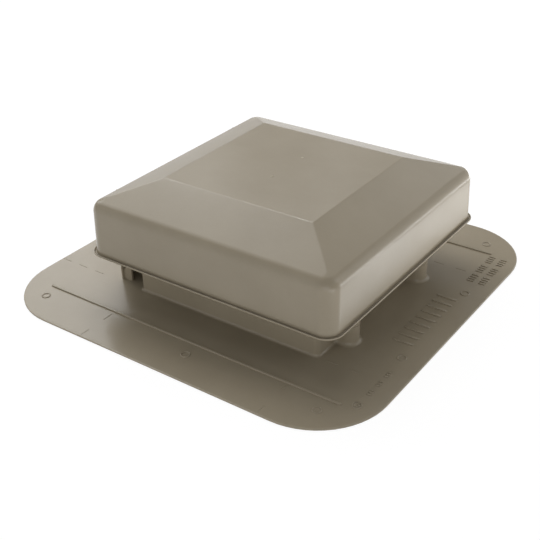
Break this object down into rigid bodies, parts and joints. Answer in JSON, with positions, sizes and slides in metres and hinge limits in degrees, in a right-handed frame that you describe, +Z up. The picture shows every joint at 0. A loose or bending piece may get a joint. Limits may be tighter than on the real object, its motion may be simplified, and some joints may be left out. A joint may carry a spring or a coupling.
{
  "type": "roof vent",
  "caption": "Static attic roof vent: a flat nailing flange with a square throat, and a hipped hood held over it on posts so that air leaves under its lip.",
  "frame": {"origin": "middle of the flange's underside, on the roof deck", "axes": "+X down the roof slope along the flange's longer side, +Z up from the deck, +Y across the slope"},
  "size_m": [0.4516, 0.4414, 0.1349],
  "materials": {
    "taupe_plastic": "weathered-wood taupe polypropylene, lightly grained, with a soft sheen",
    "screen_plastic": "darker brown polypropylene, plain"
  },
  "bodies": {
    "root": {"flashing_base": "taupe_plastic", "hood": "taupe_plastic", "insect_screen": "screen_plastic"}
  },
  "joints": []
}
